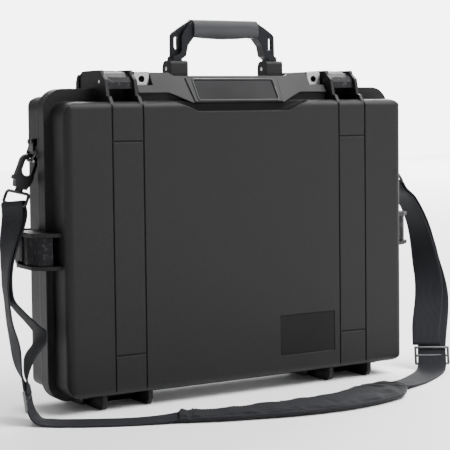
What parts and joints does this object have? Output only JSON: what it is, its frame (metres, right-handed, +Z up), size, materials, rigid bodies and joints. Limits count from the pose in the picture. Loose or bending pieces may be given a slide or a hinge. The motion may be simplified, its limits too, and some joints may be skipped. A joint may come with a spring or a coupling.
{
  "type": "laptop hard case",
  "caption": "Black moulded hard case for a laptop with draw latches, padlock tabs, folding handle, foam lining and a padded shoulder strap on snap hooks",
  "frame": {"origin": "on the floor, midway between the side latches, midway between the lid's face and the base's back", "axes": "+X to the right along the case's width, +Y from the lid's face to the base's back, +Z up from the hinge side to the handle; the case stands on its hinge side"},
  "size_m": [0.6543, 0.268, 0.467],
  "materials": {
    "shell": "fine moulded grain",
    "latch_plastic": "rough moulded grain",
    "plate": "smooth",
    "grip_rubber": "soft overmould",
    "seal": "soft ring",
    "foam": "open-cell foam",
    "steel": "brushed",
    "dark_metal": "black coated",
    "webbing": "woven nylon",
    "pad_fabric": "padded nylon"
  },
  "bodies": {
    "base": {"base_shell": "shell", "base_foam": "foam", "hinge_pins": "steel", "padlock_plates_base": "steel", "handle_pins": "steel", "pressure_valve": "latch_plastic", "valve_cap": "latch_plastic", "strap_brackets": "dark_metal", "bracket_screws": "dark_metal", "ring_left": "dark_metal", "ring_right": "dark_metal", "snap_hook_left": "dark_metal", "snap_hook_right": "dark_metal", "swivel_left": "dark_metal", "swivel_right": "dark_metal", "strap_left": "webbing", "strap_left_inner": "webbing", "strap_right": "webbing", "strap_right_inner": "webbing", "slider_left": "dark_metal", "slider_right": "dark_metal", "shoulder_pad": "pad_fabric"},
    "lid": {"lid_shell": "shell", "sealing_ring": "seal", "lid_foam": "foam", "padlock_plates_lid": "steel", "name_plate": "plate", "label_plate": "plate", "latch_pins": "steel"},
    "handle": {"handle_core": "latch_plastic", "handle_grip": "grip_rubber"},
    "gate_left": {"hook_gate_left": "dark_metal"},
    "gate_right": {"hook_gate_right": "dark_metal"},
    "frame_top_left": {"latch_frame_top_left": "latch_plastic", "lever_pin_top_left": "steel"},
    "lever_top_left": {"latch_lever_top_left": "latch_plastic"},
    "frame_top_right": {"latch_frame_top_right": "latch_plastic", "lever_pin_top_right": "steel"},
    "lever_top_right": {"latch_lever_top_right": "latch_plastic"},
    "frame_side_left": {"latch_frame_side_left": "latch_plastic", "lever_pin_side_left": "steel"},
    "lever_side_left": {"latch_lever_side_left": "latch_plastic"},
    "frame_side_right": {"latch_frame_side_right": "latch_plastic", "lever_pin_side_right": "steel"},
    "lever_side_right": {"latch_lever_side_right": "latch_plastic"}
  },
  "joints": [
    {"name": "lid_hinge", "type": "hinge", "parent": "base", "child": "lid", "pos_m": [0, -0.001, 0.0085], "axis": [1, 0, 0], "range_deg": [0, 105], "deforming": ["strap_left", "strap_left_inner", "strap_right", "strap_right_inner", "shoulder_pad"]},
    {"name": "frame_top_left_swing", "type": "hinge", "parent": "lid", "child": "frame_top_left", "pos_m": [-0.1625, -0.025, 0.39], "axis": [1, 0, 0], "range_deg": [0, 90]},
    {"name": "lever_top_left_swing", "type": "hinge", "parent": "frame_top_left", "child": "lever_top_left", "pos_m": [-0.1625, 0.009, 0.394], "axis": [1, 0, 0], "range_deg": [0, 90]},
    {"name": "frame_top_right_swing", "type": "hinge", "parent": "lid", "child": "frame_top_right", "pos_m": [0.1625, -0.025, 0.39], "axis": [1, 0, 0], "range_deg": [0, 90]},
    {"name": "lever_top_right_swing", "type": "hinge", "parent": "frame_top_right", "child": "lever_top_right", "pos_m": [0.1625, 0.009, 0.394], "axis": [1, 0, 0], "range_deg": [0, 90]},
    {"name": "frame_side_left_swing", "type": "hinge", "parent": "lid", "child": "frame_side_left", "pos_m": [-0.2615, -0.025, 0.192], "axis": [0, 0, 1], "range_deg": [0, 90], "deforming": ["strap_left", "strap_left_inner"]},
    {"name": "lever_side_left_swing", "type": "hinge", "parent": "frame_side_left", "child": "lever_side_left", "pos_m": [-0.2655, 0.009, 0.192], "axis": [0, 0, 1], "range_deg": [0, 90], "deforming": ["strap_left", "strap_left_inner"]},
    {"name": "frame_side_right_swing", "type": "hinge", "parent": "lid", "child": "frame_side_right", "pos_m": [0.2615, -0.025, 0.192], "axis": [0, 0, -1], "range_deg": [0, 90], "deforming": ["strap_right", "strap_right_inner"]},
    {"name": "lever_side_right_swing", "type": "hinge", "parent": "frame_side_right", "child": "lever_side_right", "pos_m": [0.2655, 0.009, 0.192], "axis": [0, 0, -1], "range_deg": [0, 90], "deforming": ["strap_right", "strap_right_inner"]},
    {"name": "handle_fold", "type": "hinge", "parent": "base", "child": "handle", "pos_m": [0, -0.005, 0.406], "axis": [-1, 0, 0], "range_deg": [0, 90]},
    {"name": "gate_left_swing", "type": "hinge", "parent": "base", "child": "gate_left", "pos_m": [-0.25506, 0.02, 0.27531], "axis": [0, -1, 0], "range_deg": [0, 11], "stiffness_Nm_per_rad": 0.02},
    {"name": "gate_right_swing", "type": "hinge", "parent": "base", "child": "gate_right", "pos_m": [0.25997, 0.02, 0.27569], "axis": [0, 1, 0], "range_deg": [0, 11], "stiffness_Nm_per_rad": 0.02}
  ]
}
